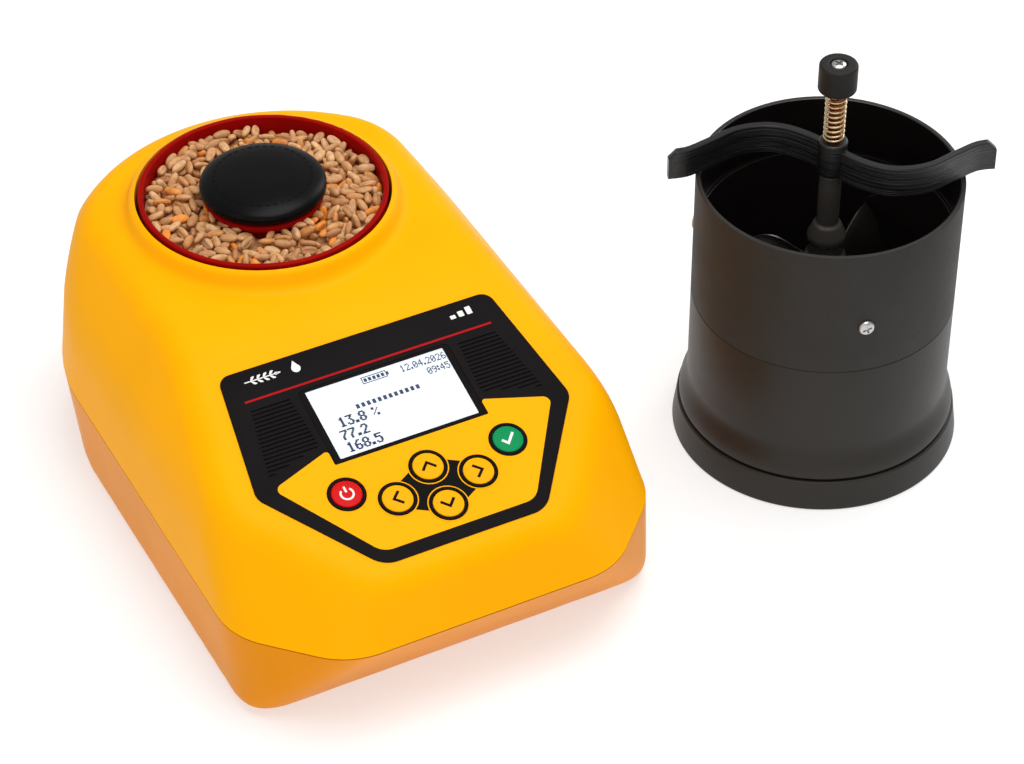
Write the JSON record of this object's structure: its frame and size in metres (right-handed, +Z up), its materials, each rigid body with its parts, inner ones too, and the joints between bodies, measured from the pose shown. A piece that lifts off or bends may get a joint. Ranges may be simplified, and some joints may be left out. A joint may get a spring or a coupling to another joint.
{
  "type": "grain moisture meter",
  "caption": "Table-top grain moisture meter with a weighing vessel, sloped keypad panel and display, with its round filling hopper standing beside it.",
  "frame": {"origin": "middle of the footprint of the meter and its hopper, on the table plane", "axes": "+X to the right facing the keypad, +Y to the rear (vessel end), +Z up"},
  "size_m": [0.3266, 0.2624, 0.1707],
  "materials": {
    "case_top": "warm yellow moulded plastic, satin",
    "case_base": "deeper yellow moulded plastic, satin",
    "rubber_black": "matte black rubber",
    "steel": "plated steel",
    "battery": "printed metal can",
    "black_plastic": "moulded black plastic",
    "spring_steel": "nickel-plated spring steel",
    "circuit_board": "green solder mask",
    "lcd": "bright reflective display",
    "window": "clear hard-coated window",
    "panel": "satin black printed overlay",
    "key_red": "glossy red key",
    "key_green": "glossy green key",
    "key_yellow": "glossy yellow key",
    "vessel_red": "red anodised, satin",
    "knob_black": "satin black plastic",
    "aluminium": "machined",
    "gold_pins": "gold-plated",
    "hopper_black": "dark brown-black plastic, satin",
    "sleeve_black": "finely textured black plastic",
    "brass": "turned",
    "spring_bronze": "bronze spring wire"
  },
  "bodies": {
    "case": {"base_shell": "case_base", "top_shell": "case_top", "seam_gasket": "rubber_black", "rubber_feet": "rubber_black", "case_screws": "steel", "door_pin": "steel", "battery_cells": "battery", "battery_holder": "black_plastic", "battery_contacts": "spring_steel", "main_board": "circuit_board", "board_screws": "steel", "buzzer": "black_plastic", "usb_socket": "steel", "socket_board": "circuit_board", "keypad_board": "circuit_board", "dome_switches": "spring_steel", "lcd_module": "circuit_board", "lcd_glass": "lcd", "display_window": "window", "panel_overlay": "panel", "vessel_well": "black_plastic", "load_platform": "aluminium", "load_cell": "aluminium", "load_cell_bracket": "aluminium", "load_cell_screws": "steel", "temperature_sensor": "steel", "contact_pins": "gold_pins"},
    "door": {"battery_door": "case_base"},
    "power_key": {"power_key": "key_red"},
    "ok_key": {"ok_key": "key_green"},
    "up_key": {"up_key": "key_yellow"},
    "down_key": {"down_key": "key_yellow"},
    "left_key": {"left_key": "key_yellow"},
    "right_key": {"right_key": "key_yellow"},
    "vessel": {"vessel_cup": "vessel_red", "vessel_post": "vessel_red", "vessel_knob": "knob_black", "post_screw": "steel"},
    "hopper": {"base_ring": "hopper_black", "hopper_body": "hopper_black", "valve_seat": "hopper_black", "hopper_sleeve": "sleeve_black", "sleeve_screws": "steel", "bearing_spider": "hopper_black", "rod_bush": "brass"},
    "rotor": {"bridge_handle": "hopper_black", "wiper_rotor": "hopper_black", "retaining_ring": "steel", "return_spring": "spring_bronze"},
    "plunger": {"push_rod": "brass", "press_knob": "knob_black", "press_knob_screw": "steel", "valve_plate": "hopper_black", "valve_nut": "steel"}
  },
  "joints": [
    {"name": "door_hinge", "type": "hinge", "parent": "case", "child": "door", "pos_m": [-0.0777, -0.0234, 0.0039], "axis": [1, 0, 0], "range_deg": [0, 95]},
    {"name": "power_key_press", "type": "slide", "parent": "case", "child": "power_key", "axis": [0, 0.2699, -0.9629], "range_m": [0, 0.0005], "stiffness_N_per_m": 1200, "springref_m": -0.0004},
    {"name": "ok_key_press", "type": "slide", "parent": "case", "child": "ok_key", "axis": [0, 0.2699, -0.9629], "range_m": [0, 0.0005], "stiffness_N_per_m": 1200, "springref_m": -0.0004},
    {"name": "up_key_press", "type": "slide", "parent": "case", "child": "up_key", "axis": [0, 0.2699, -0.9629], "range_m": [0, 0.0005], "stiffness_N_per_m": 1200, "springref_m": -0.0004},
    {"name": "down_key_press", "type": "slide", "parent": "case", "child": "down_key", "axis": [0, 0.2699, -0.9629], "range_m": [0, 0.0005], "stiffness_N_per_m": 1200, "springref_m": -0.0004},
    {"name": "left_key_press", "type": "slide", "parent": "case", "child": "left_key", "axis": [0, 0.2699, -0.9629], "range_m": [0, 0.0005], "stiffness_N_per_m": 1200, "springref_m": -0.0004},
    {"name": "right_key_press", "type": "slide", "parent": "case", "child": "right_key", "axis": [0, 0.2699, -0.9629], "range_m": [0, 0.0005], "stiffness_N_per_m": 1200, "springref_m": -0.0004},
    {"name": "vessel_lift", "type": "slide", "parent": "case", "child": "vessel", "axis": [0, 0, 1], "range_m": [0, 0.09]},
    {"name": "hopper_lift", "type": "slide", "parent": "case", "child": "hopper", "axis": [0, 0, 1], "range_m": [0, 0.2]},
    {"name": "handle_turn", "type": "hinge", "parent": "hopper", "child": "rotor", "pos_m": [0.1073, -0.0544, 0.12], "axis": [0, 0, 1], "continuous": true},
    {"name": "knob_press", "type": "slide", "parent": "rotor", "child": "plunger", "axis": [0, 0, -1], "range_m": [0, 0.01], "stiffness_N_per_m": 400, "springref_m": -0.005, "deforming": ["return_spring"]}
  ]
}
